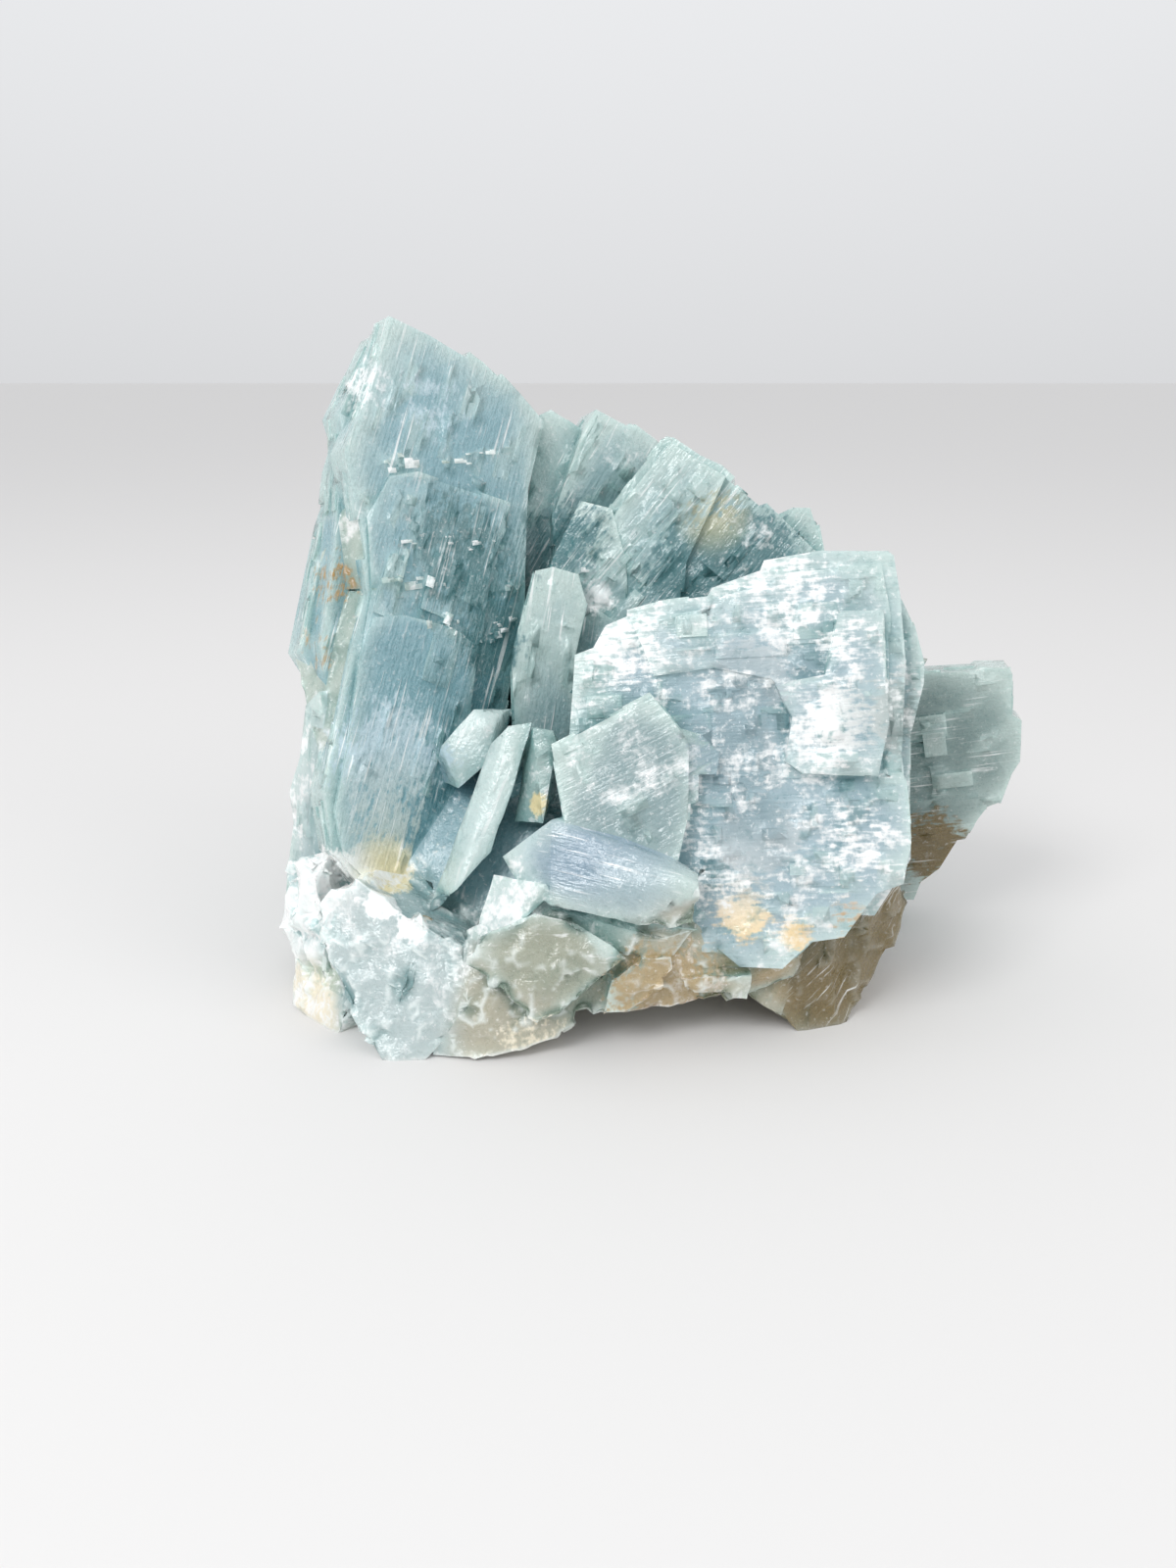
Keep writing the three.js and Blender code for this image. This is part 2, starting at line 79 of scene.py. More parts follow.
# Crystals: a point on the face and its reach in mm, angles in degrees, slivers and tiles to the square cm
CRYSTALS = {
    "tall_left": dict(at=(-24.5, 0.9, 39.9), reach=35, turn=40, lean=12, grain=62,
                      colour="teal", frost=0.1, slivers=4, tiles=1),
    "rear_peaks": dict(at=(-8.1, 14.5, 44.2), reach=21, turn=20, lean=12, grain=55,
                       colour="grey_teal", frost=0.15, slivers=10, tiles=1),
    "rear_fan": dict(at=(4.2, 6.2, 41.4), reach=24, turn=-8, lean=14, grain=52,
                     colour="grey_teal", frost=0.15, slivers=12, tiles=1),
    "small_arched": dict(at=(-12.5, 1.3, 34.5), reach=14, turn=5, lean=14, grain=80,
                         colour="grey_teal", frost=0.1, slivers=12, tiles=0),
    "broad_right": dict(at=(7.3, -15.1, 29.1), reach=28, turn=-5, lean=25, grain=4,
                        colour="frosted", frost=0.42, slivers=2, tiles=12),
    "inset_rhomb": dict(at=(-5.0, -17.2, 27.3), reach=13, turn=-5, lean=27, grain=28,
                        colour="slate", frost=0.3, slivers=1, tiles=3),
    "rear_right": dict(at=(31.8, 1.7, 19.3), reach=20, turn=-12, lean=4, grain=12,
                       colour="dusk", frost=0.15, slivers=9, tiles=2),
    "left_flank": dict(at=(-39.3, -8.4, 18.0), reach=20, turn=-40, lean=6, grain=84,
                       colour="pale", frost=0.5, slivers=6, tiles=2),
    "tall_back": dict(at=(-30.8, 8.2, 41.8), reach=27, turn=220, lean=-12, grain=118,
                      colour="teal", frost=0.2, slivers=10, tiles=2),
    "peaks_back": dict(at=(-8.6, 21.1, 45.2), reach=17, turn=200, lean=-12, grain=125,
                       colour="grey_teal", frost=0.3, slivers=10, tiles=2),
    "fan_back": dict(at=(8.1, 12.3, 41.1), reach=19, turn=172, lean=-14, grain=128,
                     colour="grey_teal", frost=0.3, slivers=10, tiles=2),
    "back_shield": dict(at=(-2.2, 19.1, 21.5), reach=28, turn=172, lean=14, grain=60,
                        colour="ice", frost=0.4, slivers=6, tiles=5),
    "back_wing": dict(at=(19.0, 13.2, 16.9), reach=21, turn=140, lean=20, grain=40,
                      colour="grey_teal", frost=0.35, slivers=9, tiles=2),
}

# Chunks of the base and small prisms: middle and radius in mm, flakes and crumbs to the square cm
CHUNKS = {
    "flank_high": dict(at=(-35, 3, 58), radius=10, colour="willow", frost=0.45, flakes=0, rough=0.5,
                       along=(-1, 1, 7)),
    "flank_low": dict(at=(-37, -4, 40), radius=10, colour="willow", frost=0.3, flakes=0, rough=0.5,
                      along=(-1, 1, 7)),
    "front_foot": dict(at=(-28, -21, 7), radius=9, colour="glass", frost=0.25, flakes=1),
    "snow_lump": dict(at=(-38.5, -13.5, 10), radius=8, colour="snow", frost=0.9, flakes=1, crumbs=10),
    "left_foot": dict(at=(-37, -16, 2.5), radius=6, colour="beige", frost=0.6, flakes=1),
    "sill_left": dict(at=(-15, -23, 5), radius=8, colour="broken", frost=0.25, flakes=1),
    "sill_flake": dict(at=(-12, -25.5, 11), radius=7, colour="sage", frost=0.15, flakes=1, rough=0.8),
    "sill_knob": dict(at=(-2.5, -25, 7.5), radius=5, colour="umber", frost=0.2, flakes=1, rough=0.6),
    "sill_middle": dict(at=(0, -22.5, 9.5), radius=8, colour="broken", frost=0.25, flakes=1),
    "slab_root": dict(at=(-6, -22.5, 13.5), radius=4, colour="willow", frost=0.2, flakes=0, rough=0.3),
    "right_foot": dict(at=(20, -15, 7), radius=10, colour="olive", frost=0, flakes=1, along=(0.7, 0.6, 0.9)),
    "right_sill": dict(at=(8, -23, 7), radius=6, colour="umber", frost=0.3, flakes=1, rough=0.6),
    "lavender_slab": dict(at=(-6, -20, 18), radius=8, colour="blue_grey", frost=0.1, flakes=0, rough=0.15,
                          along=(17, -6, -2)),
    "white_chip": dict(at=(-16, -20, 14.5), radius=5, colour="pale", frost=0.8, flakes=0, rough=0.15),
    "pale_lath": dict(at=(-19.5, -13, 21), radius=8, colour="ice", frost=0.2, flakes=0, rough=0.15,
                      along=(8.5, 7, 17.5)),
    "blunt_tip": dict(at=(-21, -6, 27), radius=6, colour="lavender", frost=0.2, flakes=0, rough=0.15,
                      along=(4, 1, 5)),
    "grey_stub": dict(at=(-13.5, -10, 26), radius=4, colour="grey_teal", frost=0.3, flakes=0, rough=0.15),
    "plate_edge": dict(at=(15.7, -16.9, 27.4), radius=5, colour="frosted", frost=0.5, flakes=0, rough=0),
    "rear_left": dict(at=(-24, 12, 10), radius=12, colour="willow", frost=0.3, flakes=2),
    "rear_right": dict(at=(18, 14, 7), radius=12, colour="willow", frost=0.2, flakes=2),
    "rear_rubble": dict(at=(0, 22, 7), radius=9, colour="pale", frost=0.3, flakes=2),
    "underside": dict(at=(-4, 0, 2), radius=15, colour="broken", frost=0.1, flakes=0, rough=0.2),
    "heart": dict(at=(-10, 2, 22), radius=12, colour="grey_teal", frost=0.1, flakes=0),
}

# Square growth steps painted white as painted glints: where they sit, and their length and width in mm
GLINTS = [
    ((-27.5, 3.1, 56.7), 1.9, 1.1), ((-29.4, 1.3, 56.1), 1.0, 0.6), ((-22.6, 7.2, 56.6), 1.6, 0.5),
    ((-19.4, 10.0, 57.3), 1.3, 0.4), ((-29.5, -3.6, 45.1), 1.0, 0.6), ((-27.0, -1.3, 44.1), 2.2, 0.9),
    ((-25.7, -0.1, 44.6), 0.9, 0.9), ((-27.6, -0.5, 48.8), 1.4, 0.4), ((-20.5, 5.2, 47.8), 1.2, 0.5),
    ((-23.4, 0.5, 39.9), 1.0, 1.3), ((-25.0, -2.1, 40.2), 0.7, 0.5), ((-17.6, 7.3, 42.2), 0.7, 0.7),
    ((-18.7, 5.0, 37.1), 1.0, 0.8), ((-17.2, 6.7, 38.6), 0.8, 0.6), ((-18.0, 5.7, 37.5), 1.2, 0.5),
    ((-8.5, 7.7, 44.2), 1.0, 0.6), ((-6.8, 6.7, 40.9), 2.2, 1.2), ((-7.6, 6.5, 39.8), 0.9, 0.6),
]

# Stains, veils and painted shade: a point in the middle, a radius in mm, a colour and how much of it shows
STAINS_AND_SHADE = {
    "rust_flank_high": ((-36.0, -2.6, 45.0), 7.0, "rust", 0.42),
    "rust_flank_low": ((-37.4, -5.4, 37.8), 5.0, "rust", 0.4),
    "yellow_root": ((-30.2, -12.5, 14.9), 4.2, "straw", 1.6),
    "orange_dot": ((-25.0, -17.9, 12.6), 1.6, "rust", 1.0),
    "fan_rust": ((6.5, 8.2, 50.3), 4.6, "straw", 0.5),
    "pocket": ((-13.4, -12.6, 22.6), 2.4, "straw", 0.8),
    "cream_sill": ((7.5, -22.2, 14.2), 4.6, "cream", 0.75),
    "orange_edge": ((18.4, -22.8, 14.6), 4.0, "rust", 0.5),
    "cream_edge": ((13.0, -23.5, 12.8), 3.4, "cream", 0.6),
    "snow_flank": ((-38.0, -14.5, 14.0), 6.5, "snow", 1.0),
    "snow_crust": ((-33.9, -14.6, 15.0), 4.0, "snow", 1.1),
    "snow_crust_middle": ((-29.6, -18.5, 14.0), 3.0, "snow", 1.0),
    "snow_crust_low": ((-26.4, -20.5, 12.4), 2.8, "snow", 1.0),
    "snow_peak": ((-32.6, 3.6, 64.5), 6.0, "snow", 0.5),
    "foot_dust": ((-38.0, -19.0, 2.0), 5.0, "beige", 0.7),
    "raised_white": ((17.0, -15.6, 33.0), 8.0, "snow", 0.6),
    "raised_top": ((18.5, -12.0, 40.0), 8.0, "snow", 0.45),
    "white_left": ((-5.0, -9.5, 40.0), 11.0, "snow", 0.5),
    "white_top": ((12.0, -8.3, 45.5), 12.0, "snow", 0.48),
    "white_low": ((18.5, -19.6, 21.5), 9.0, "snow", 0.48),
    "white_lower": ((6.0, -21.0, 18.0), 7.0, "snow", 0.45),
    "right_band": ((24.0, -14.0, 33.0), 8.0, "dusk", 0.7),
    "blue_cloud": ((8.5, -12.0, 36.5), 8.0, "steel", 0.7),
    "blue_middle": ((7.0, -15.0, 28.5), 9.0, "steel", 0.7),
    "blue_low": ((9.0, -19.0, 21.5), 8.0, "steel", 0.75),
    "frost_notch": ((-7.0, 6.8, 41.0), 3.6, "snow", 0.7),
    # Painted shade: darker teal in the valleys and notches between the crystals, and a painted shadow on the
    # fan above the broad right crystal
    "shade_middle": ((-22.5, 4.0, 46.0), 14.0, "shade_teal", 0.6),
    "shade_notch": ((-19.5, 4.0, 37.0), 8.0, "shade_teal", 0.7),
    "shadow_fan": ((8.0, 6.5, 43.0), 15.0, "shade_teal", 0.85),
    "shade_peaks": ((-10.0, 12.0, 47.0), 10.0, "shade_teal", 0.7),
    "milky_low": ((-29.0, -9.5, 27.0), 12.0, "ice", 0.62),
    "milky_root": ((-29.0, -12.0, 20.0), 9.0, "willow", 0.6),
    "milky_top": ((-25.0, 6.0, 62.5), 9.0, "ice", 0.42),
    "brown_sill": ((0.0, -25.0, 6.5), 10.0, "umber", 0.7),
    "brown_foot": ((-14.0, -26.0, 2.0), 7.0, "beige", 0.45),
    "brown_hinge": ((33.0, 0.0, 12.0), 8.0, "olive", 0.7),
}

# A crystal's leaves: how far they go ahead of and behind its face in mm, and how exactly they lie along it
AHEAD = 3.2
BEHIND = 14.5
PARALLEL = 0.9998
SQUARE = 0.012

# Small growth in mm: how long and wide it is, how far it stands out and how deep its root is
SLIVER = dict(long=(1.0, 7.0), wide=(0.15, 0.9), lift=(0.015, 0.06), root=0.6)
TILE = dict(long=(0.6, 2.6), wide=(0.5, 1.8), lift=(0.02, 0.1), root=0.6)
LATH = dict(long=(1.5, 7.0), wide=(0.25, 1.0), lift=(0.06, 0.3), root=0.8, per_cm2=16)
FLAKE = dict(long=(2.5, 7.0), wide=(1.4, 4.0), lift=(0.05, 0.25), root=1.6, tilt=0.1, taper=(0.6, 0.95))
CRUMB = dict(long=(0.5, 1.6), wide=(0.4, 1.2), lift=(0.1, 0.5), root=0.8, tilt=0.5, taper=(0.6, 0.95))
GLINT = dict(lift=0.08, root=0.6, tilt=0.05, radius=1.1, nearby=3, row=1.8, rise=0.5, smaller=(0.25, 0.6))

# How deep in the crystal the corners of a small piece lie, and how far it keeps off the floor, in mm
CORNER_SINK = 0.25
FLOOR_GAP = 0.02

# Shares of a small piece's size: ragged ends, pointed ends, the bite out of a tile and uneven corners
RAGGED = (0.55, 1)
POINTED = (-0.3, 0.3)
BITE = (0.1, 0.8)
UNEVEN = (-0.3, 0.3)

# Axes of a chunk that has no growth lines
NO_LINES = ((3, 0, 0), (0, 0.7, 0), (0, 0, 2.4))

# Mesh: longest edges and welds in mm, flat and sharp angles in degrees, the roughness that needs short edges
LONGEST = 1.8
LONGEST_BROKEN = 0.9
FINE_SHARE = 0.3
REFINE_PASSES = 7
CAD_WELD = 1e-4
WELD = 0.002
FLAT = 0.2
SHARP_ANGLE = 26

# Relief in mm: lumps on the base, waves on the crystals, and the height over which the feet turn smooth
ROUGH = 0.18
WAVY = 0.03
LUMPS_PER_MM = 0.3
LUMP_OCTAVES = (1.0, 2.0, 4)
FOOT_HEIGHT = 2.0

# Facets of the broken base: how far apart they are in mm, how steep and how hollow
FACET = dict(apart=3.6, slope=0.75, hollow=0.05)

# Worn edges between the facets, pale partly from frost and partly as a painted highlight: how much the
# surface has to fall away, and how fast they turn pale
RIDGE_FROM = 0.05
RIDGE_GAIN = 6

# Sharp ridges: least angle in degrees, least width of the faces beside them and of the gap between two in mm
RIDGE_ANGLE = 28
RIDGE_LEAST = 0.12
SHORTEST_BRIDGE = 0.5

# Rays that tell how thin the crystal is under a point and how deep in a recess the point lies
RAYS = 9
RAY_START = 0.06
THIN_REACH = 7.0
BROKEN_THIN = 0.5
RECESS_REACH = 14.0
BLUR_PASSES = 2

# How fast one chunk's colour gives way to the next, and how fast a stain grows from its edge
BLEND = 9
STAIN_SLOPE = 1.4

# Noise in the material: ripples to the mm along each axis, detail and roughness
RIPPLES = {
    "cloud": ((0.15,) * 3, 2, 0.6),
    "mottle": ((0.5,) * 3, 2, 0.7),
    "grain": ((1.6,) * 3, 2, 0.75),
    "streak": ((0.09, 3.0, 0.6), 2, 0.6),
    "dash": ((0.6, 2.4, 0.6), 1, 0.6),
}
VEIL_MIDDLE = 1.275

# Square growth cells: how many to the mm, how uneven they are, and how far each tips the glassy skin
CELLS_PER_MM = (0.55, 0.9, 0.3)
CELL_RANDOMNESS = 0.85
SKIN_TILT = (0.35, 0.35, 0.35)

# Curves in the material and the room: the value's two ends, then the result's two ends
CURVES = {
    "thin": (0.22, 0.6, 0.0, 0.85),
    "recess_shade": (0.12, 0.55, 0.0, 1.0),
    "stain_torn": (1.14, 1.4, 0.0, 1.0),
    "stain_inside": (0.0, 0.3, 0.0, 1.0),
    "veil_swing": (0.0, 0.6, 0.3, 1.15),
    "veil_white": (0.1, 0.38, 0.0, 0.85),
    "veil_shade": (0.04, -0.3, 0.0, 0.75),
    "worn_and_highlit": (0.1, 1.0, 0.0, 0.55),
    "worn_and_highlit_frosted": (0.0, 0.2, 0.2, 1.0),
    "ridge": (0.7, 1.0, 0.0, 1.0),
    "ridge_cloud": (0.36, 0.58, 0.3, 0.95),
    "scratch": (0.6, 0.66, 0.0, 1.0),
    "scratch_cloud": (0.42, 0.58, 0.0, 0.7),
    "scratch_frosted": (0.1, 0.3, 1.0, 0.15),
    "speck": (0.62, 0.7, 0.0, 1.0),
    "speck_frosted": (0.0, 0.5, 0.25, 0.4),
    "room": (-0.3, 0.8, 0.55, 0.92),
}

# The shader's plain settings
SHADER = {
    "Coat Weight": 0.6,
    "Coat Roughness": 0.12,
    "IOR": 1.64,
    "Subsurface Weight": 0.5,
    "Subsurface Radius": (0.8, 1.0, 1.0),
    "Subsurface Scale": 1.0 * MM,
}
BUMP = {"Strength": 0.6, "Distance": 0.3 * MM}

# Colour sockets of a mix node
MIX_FIRST = 6
MIX_SECOND = 7
MIX_RESULT = 2

# Lights and viewpoint in mm, floor in metres
LIGHTS = {
    "window": dict(at=(-260, -300, 420), size=220, power=1.2),
    "fill": dict(at=(380, -220, 260), size=300, power=0.35),
}
LIGHT_AIM = (0, 0, 30)
FLOOR = dict(size=8, colour=(0.76, 0.75, 0.74), roughness=0.9)
ROOM_TINT = (0.97, 0.98, 1.0)
ROOM_BEHIND = 0.25
VIEWPOINT = dict(at=(-8.15, -125, 67), tilt=69.5, sensor=36, lens=25.875, far=100)

rng = random.Random(SEED)


def between(pair):
    return rng.uniform(*pair)


# A crystal's axes: along its growth lines, across them, and out of the face
def crystal_axes(crystal):
    turn, lean, grain = (math.radians(crystal[key]) for key in ("turn", "lean", "grain"))
    out = Vector((math.sin(turn) * math.cos(lean), -math.cos(turn) * math.cos(lean), math.sin(lean)))
    across = Vector((math.cos(turn), math.sin(turn), 0))
    along = across * math.cos(grain) + out.cross(across) * math.sin(grain)
    return along, out.cross(along), out


# A chunk's axes: along its growth lines, or stretched so that no lines show
def chunk_axes(chunk):
    if "along" not in chunk:
        return NO_LINES
    along = Vector(chunk["along"]).normalized()
    across = along.orthogonal().normalized()
    return along, across, along.cross(across)


# Smaller steps, also painted white as glints, in a level row beside each of the listed ones
def rows_of_glints():
    rows = []
    for at, long, wide in GLINTS:
        rows.append((at, long, wide))
        for _ in range(GLINT["nearby"]):
            spread = [rng.gauss(0, GLINT[key]) for key in ("row", "row", "rise")]
            size = between(GLINT["smaller"])
            rows.append((tuple(Vector(at) + Vector(spread)), long * size, wide * size))
    return rows


glints = rows_of_glints()
# Each step is a chunk painted snow white, a painted glint
for number, (at, long, _) in enumerate(glints):
    radius = min(GLINT["radius"], long)
    CHUNKS[f"glint_{number}"] = dict(at=at, radius=radius, colour="snow", frost=1, flakes=0, rough=0)
AXES = [crystal_axes(crystal) for crystal in CRYSTALS.values()]
SHARES = np.array([broken.get("rough", 1) for broken in CHUNKS.values()])


# How far each point is from each chunk, counted in the chunk's radii
def radii_away(points):
    return np.array([
        np.linalg.norm(points - np.array(chunk["at"]), axis=1) / chunk["radius"]
        for chunk in CHUNKS.values()])


# For each facet: its crystal or -1, whether it is an edge of the stack, and its nearest chunk or -1
def label(centres, normals):
    best = np.full(len(centres), np.inf)
    owner = np.full(len(centres), -1)
    edge = np.zeros(len(centres), bool)
    for index, crystal in enumerate(CRYSTALS.values()):
        out = np.array(AXES[index][2])
        offset = centres - np.array(crystal["at"])
        depth = offset @ out
        spread = np.linalg.norm(offset - depth[:, None] * out, axis=1) / crystal["reach"]
        facing = np.abs(normals @ out)
        near = (depth < AHEAD) & (depth > -BEHIND) & (spread < np.minimum(best, 1))
        for match, is_edge in ((facing > PARALLEL, False), (facing < SQUARE, True)):
            taken = near & match
            owner[taken] = index
            edge[taken] = is_edge
            best[taken] = spread[taken]
    chunk = np.where(owner < 0, np.argmin(radii_away(centres), axis=0), -1)
    return owner, edge, chunk


# One property of every item, as an array
def read(items, key, width=1, kind=float):
    values = np.empty(len(items) * width, kind)
    items.foreach_get(key, values)
    return values.reshape(-1, width) if width > 1 else values


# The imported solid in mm, welded
def cad_solid():
    bm = bmesh.new()
    bm.from_mesh(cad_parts["barite_cluster"].data)
    bmesh.ops.scale(bm, vec=(1 / MM,) * 3, verts=bm.verts)
    bmesh.ops.remove_doubles(bm, verts=bm.verts, dist=CAD_WELD)
    bm.normal_update()
    bm.faces.ensure_lookup_table()
    return bm


# A prism over an outline, from `low` to `high` along the third axis, its top scaled by `taper`
def prism(outline, place, low, high, taper=1):
    count = len(outline)
    points = [
        place @ Vector((x * scale, y * scale, z))
        for z, scale in ((low, 1), (high, taper)) for x, y in outline]
    sides = [(i, (i + 1) % count, (i + 1) % count + count, i + count) for i in range(count)]
    return points, [tuple(reversed(range(count))), tuple(range(count, 2 * count)), *sides]


# A place at a point, with its first axis along and its third axis up
def placed(at, along, up):
    turn = Matrix((along, up.cross(along), up)).transposed().to_4x4()
    return Matrix.Translation(at) @ turn


# A place on a facet, tipped and turned at random
def tipped(at, normal, tilt):
    up = (normal + Vector(rng.gauss(0, tilt) for _ in range(3))).normalized()
    along = up.orthogonal().normalized()
    along.rotate(Matrix.Rotation(rng.uniform(0, math.tau), 3, up))
    return placed(at, along, up)


# Random points on the facets picked out, about as many as `per_cm2` asks for
def scatter(bm, picked, per_cm2):
    faces = [bm.faces[i] for i in np.nonzero(picked)[0]]
    areas = [face.calc_area() for face in faces]
    count = round(sum(areas) / MM2_PER_CM2 * per_cm2)
    spots = []
    for face in rng.choices(faces, areas, k=count) if count else []:
        a, b, c = (loop.vert.co for loop in face.loops)
        s, t = rng.random(), rng.random()
        if s + t > 1:
            s, t = 1 - s, 1 - t
        spots.append((a + (b - a) * s + (c - a) * t, face.normal.copy()))
    return spots


# Whether a point lies inside the solid
def inside(tree, point):
    found, normal, _, _ = tree.find_nearest(point)
    return (point - found).dot(normal) < 0


# Whether a piece's outline lies over the crystal all round
def rooted(tree, place, outline):
    return all(inside(tree, place @ Vector((x, y, -CORNER_SINK))) for x, y in outline)


# A long sliver with ragged ends
def sliver_outline(long, wide):
    ends = [between(RAGGED) for _ in range(4)]
    return [
        (-long / 2 * ends[0], -wide / 2), (long / 2 * ends[1], -wide / 2),
        (long / 2, wide * between(POINTED)),
        (long / 2 * ends[2], wide / 2), (-long / 2 * ends[3], wide / 2)]


# A square tile with one corner stepped
def tile_outline(long, wide):
    bite_x, bite_y = between(BITE), between(BITE)
    corners = [(-1, -1), (1, -1), (1, bite_y), (bite_x, bite_y), (bite_x, 1), (-1, 1)]
    return [(x * long / 2, y * wide / 2) for x, y in corners]


# A broken bit with five or six uneven corners
def bit_outline(long, wide):
    count = rng.choice((5, 6))
    angles = [(i + between(UNEVEN)) * math.tau / count for i in range(count)]
    return [(math.cos(angle) * long / 2, math.sin(angle) * wide / 2) for angle in angles]


# Slivers and tiles over the crystals' faces
def face_growth(bm, tree, owner, edge):
    pieces = []
    for index, crystal in enumerate(CRYSTALS.values()):
        along, _, out = AXES[index]
        for count, size, outlined in (
            (crystal["slivers"], SLIVER, sliver_outline), (crystal["tiles"], TILE, tile_outline)):
            for at, normal in scatter(bm, (owner == index) & ~edge, count):
                outline = outlined(between(size["long"]), between(size["wide"]))
                place = placed(at, along, out if normal.dot(out) > 0 else -out)
                if size is TILE:
                    place = place @ Matrix.Rotation(math.pi / 2 * rng.randrange(4), 4, "Z")
                if rooted(tree, place, outline):
                    pieces.append(prism(outline, place, -size["root"], between(size["lift"])))
    return pieces


# Laths along the stacked edges of the crystals
def edge_growth(bm, tree, owner, edge):
    pieces = []
    for index in range(len(CRYSTALS)):
        out = AXES[index][2]
        for at, normal in scatter(bm, (owner == index) & edge, LATH["per_cm2"]):
            outline = sliver_outline(between(LATH["long"]), between(LATH["wide"]))
            place = placed(at, out.cross(normal).normalized(), normal)
            if rooted(tree, place, outline):
                pieces.append(prism(outline, place, -LATH["root"], between(LATH["lift"])))
    return pieces


# Flakes and crumbs standing out of the broken base
def base_growth(bm, tree, chunk):
    pieces = []
    for index, broken in enumerate(CHUNKS.values()):
        for count, size in ((broken["flakes"], FLAKE), (broken.get("crumbs", 0), CRUMB)):
            for at, normal in scatter(bm, chunk == index, count):
                outline = bit_outline(between(size["long"]), between(size["wide"]))
                place = tipped(at, normal, size["tilt"])
                if rooted(tree, place, outline):
                    taper = between(size["taper"])
                    pieces.append(prism(outline, place, -size["root"], between(size["lift"]), taper))
    return pieces


# Steps painted white as glints, each tipped a little out of the face that it sits on
def glint_growth(tree):
    pieces = []
    for at, long, wide in glints:
        found, normal, _, _ = tree.find_nearest(Vector(at))
        up = (normal + Vector(rng.gauss(0, GLINT["tilt"]) for _ in range(3))).normalized()
        level = Vector((0, 0, 1)).cross(up).normalized()
        place = placed(found, level, up)
        pieces.append(prism(tile_outline(long, wide), place, -GLINT["root"], GLINT["lift"]))
    return pieces


# Pieces sorted into batches in which no two touch, so that each batch is a clean solid
def batches(pieces):
    sorted_out = []
    for points, faces in pieces:
        low = np.min(points, axis=0)
        high = np.max(points, axis=0)
        for batch in sorted_out:
            lows, highs = np.array(batch["low"]), np.array(batch["high"])
            if not np.any(np.all((lows < high) & (highs > low), axis=1)):
                break
        else:
            batch = dict(low=[], high=[], pieces=[])
            sorted_out.append(batch)
        batch["low"].append(low)
        batch["high"].append(high)
        batch["pieces"].append((points, faces))
    return [batch["pieces"] for batch in sorted_out]


# One mesh of several pieces
def mesh_of(pieces):
    bm = bmesh.new()
    for points, faces in pieces:
        verts = [bm.verts.new(point) for point in points]
        for face in faces:
            bm.faces.new([verts[i] for i in face])
    bmesh.ops.recalc_face_normals(bm, faces=bm.faces)
    mesh = bpy.data.meshes.new("growth")
    bm.to_mesh(mesh)
    bm.free()
    return mesh


# Joins the pieces to the body, one batch at a time
def grow(body, pieces):
    for batch in batches(pieces):
        extra = bpy.data.objects.new("growth", mesh_of(batch))
        bpy.context.collection.objects.link(extra)
        step = body.modifiers.new("step", "BOOLEAN")
        step.operation = "UNION"
        step.solver = "MANIFOLD"
        step.object = extra
        joined = bpy.data.meshes.new_from_object(body.evaluated_get(bpy.context.evaluated_depsgraph_get()))
        body.modifiers.clear()
        body.data = joined
        bpy.data.objects.remove(extra)


# Whether an edge is a sharp ridge between two faces that aren't slivers
def is_ridge(edge):
    if len(edge.link_faces) != 2 or edge.calc_face_angle_signed(0) < math.radians(RIDGE_ANGLE):
        return False
    return min(face.calc_area() for face in edge.link_faces) > RIDGE_LEAST * edge.calc_length()


# Cuts edges in half and the faces beside them into triangles
def halve(bm, edges):
    bmesh.ops.subdivide_edges(bm, edges=edges, cuts=1)
    triangulate(bm)


# Cuts every larger face into triangles
def triangulate(bm):
    faces = [face for face in bm.faces if len(face.verts) > 3]
    bmesh.ops.triangulate(bm, faces=faces, quad_method="SHORT_EDGE", ngon_method="BEAUTY")


# Welds corners that lie together and drops what is left with no area
def weld(bm):
    bmesh.ops.remove_doubles(bm, verts=bm.verts, dist=WELD)
    bmesh.ops.dissolve_degenerate(bm, dist=WELD, edges=bm.edges)
    bmesh.ops.delete(bm, geom=[edge for edge in bm.edges if edge.is_wire], context="EDGES")
    triangulate(bm)


# Halves the edges that `picked` gives until none of them is longer than `longest`
def split(bm, picked, longest):
    for _ in range(REFINE_PASSES):
        long_edges = [edge for edge in picked(bm) if edge.calc_length() > longest]
        if not long_edges:
            break
        halve(bm, long_edges)
        weld(bm)


# Edges of the facets that are rough enough to need short ones
def broken_edges(bm):
    bm.normal_update()
    centres = np.array([face.calc_center_median() for face in bm.faces])
    normals = np.array([face.normal for face in bm.faces])
    chunk = label(centres, normals)[2]
    rough = (chunk >= 0) & (SHARES[chunk] >= FINE_SHARE)
    found = {edge for face, is_rough in zip(bm.faces, rough) if is_rough for edge in face.edges}
    return [edge for edge in bm.edges if edge in found]


# Facets split small; gives 1 for each corner on a sharp ridge and 0 for the others
def refine(mesh):
    bm = bmesh.new()
    bm.from_mesh(mesh)
    bmesh.ops.dissolve_limit(bm, angle_limit=math.radians(FLAT), verts=bm.verts, edges=bm.edges)
    weld(bm)
    split(bm, lambda bm: bm.edges, LONGEST)
    split(bm, broken_edges, LONGEST_BROKEN)
    bm.normal_update()
    ridges = {edge for edge in bm.edges if is_ridge(edge)}
    on_ridge = {vert for edge in ridges for vert in edge.verts}
    bridges = [
        edge for edge in bm.edges
        if edge not in ridges and on_ridge.issuperset(edge.verts) and edge.calc_length() > SHORTEST_BRIDGE]
    halve(bm, bridges)
    rim = np.array([vert in on_ridge for vert in bm.verts], float)
    bm.to_mesh(mesh)
    bm.free()
    return rim


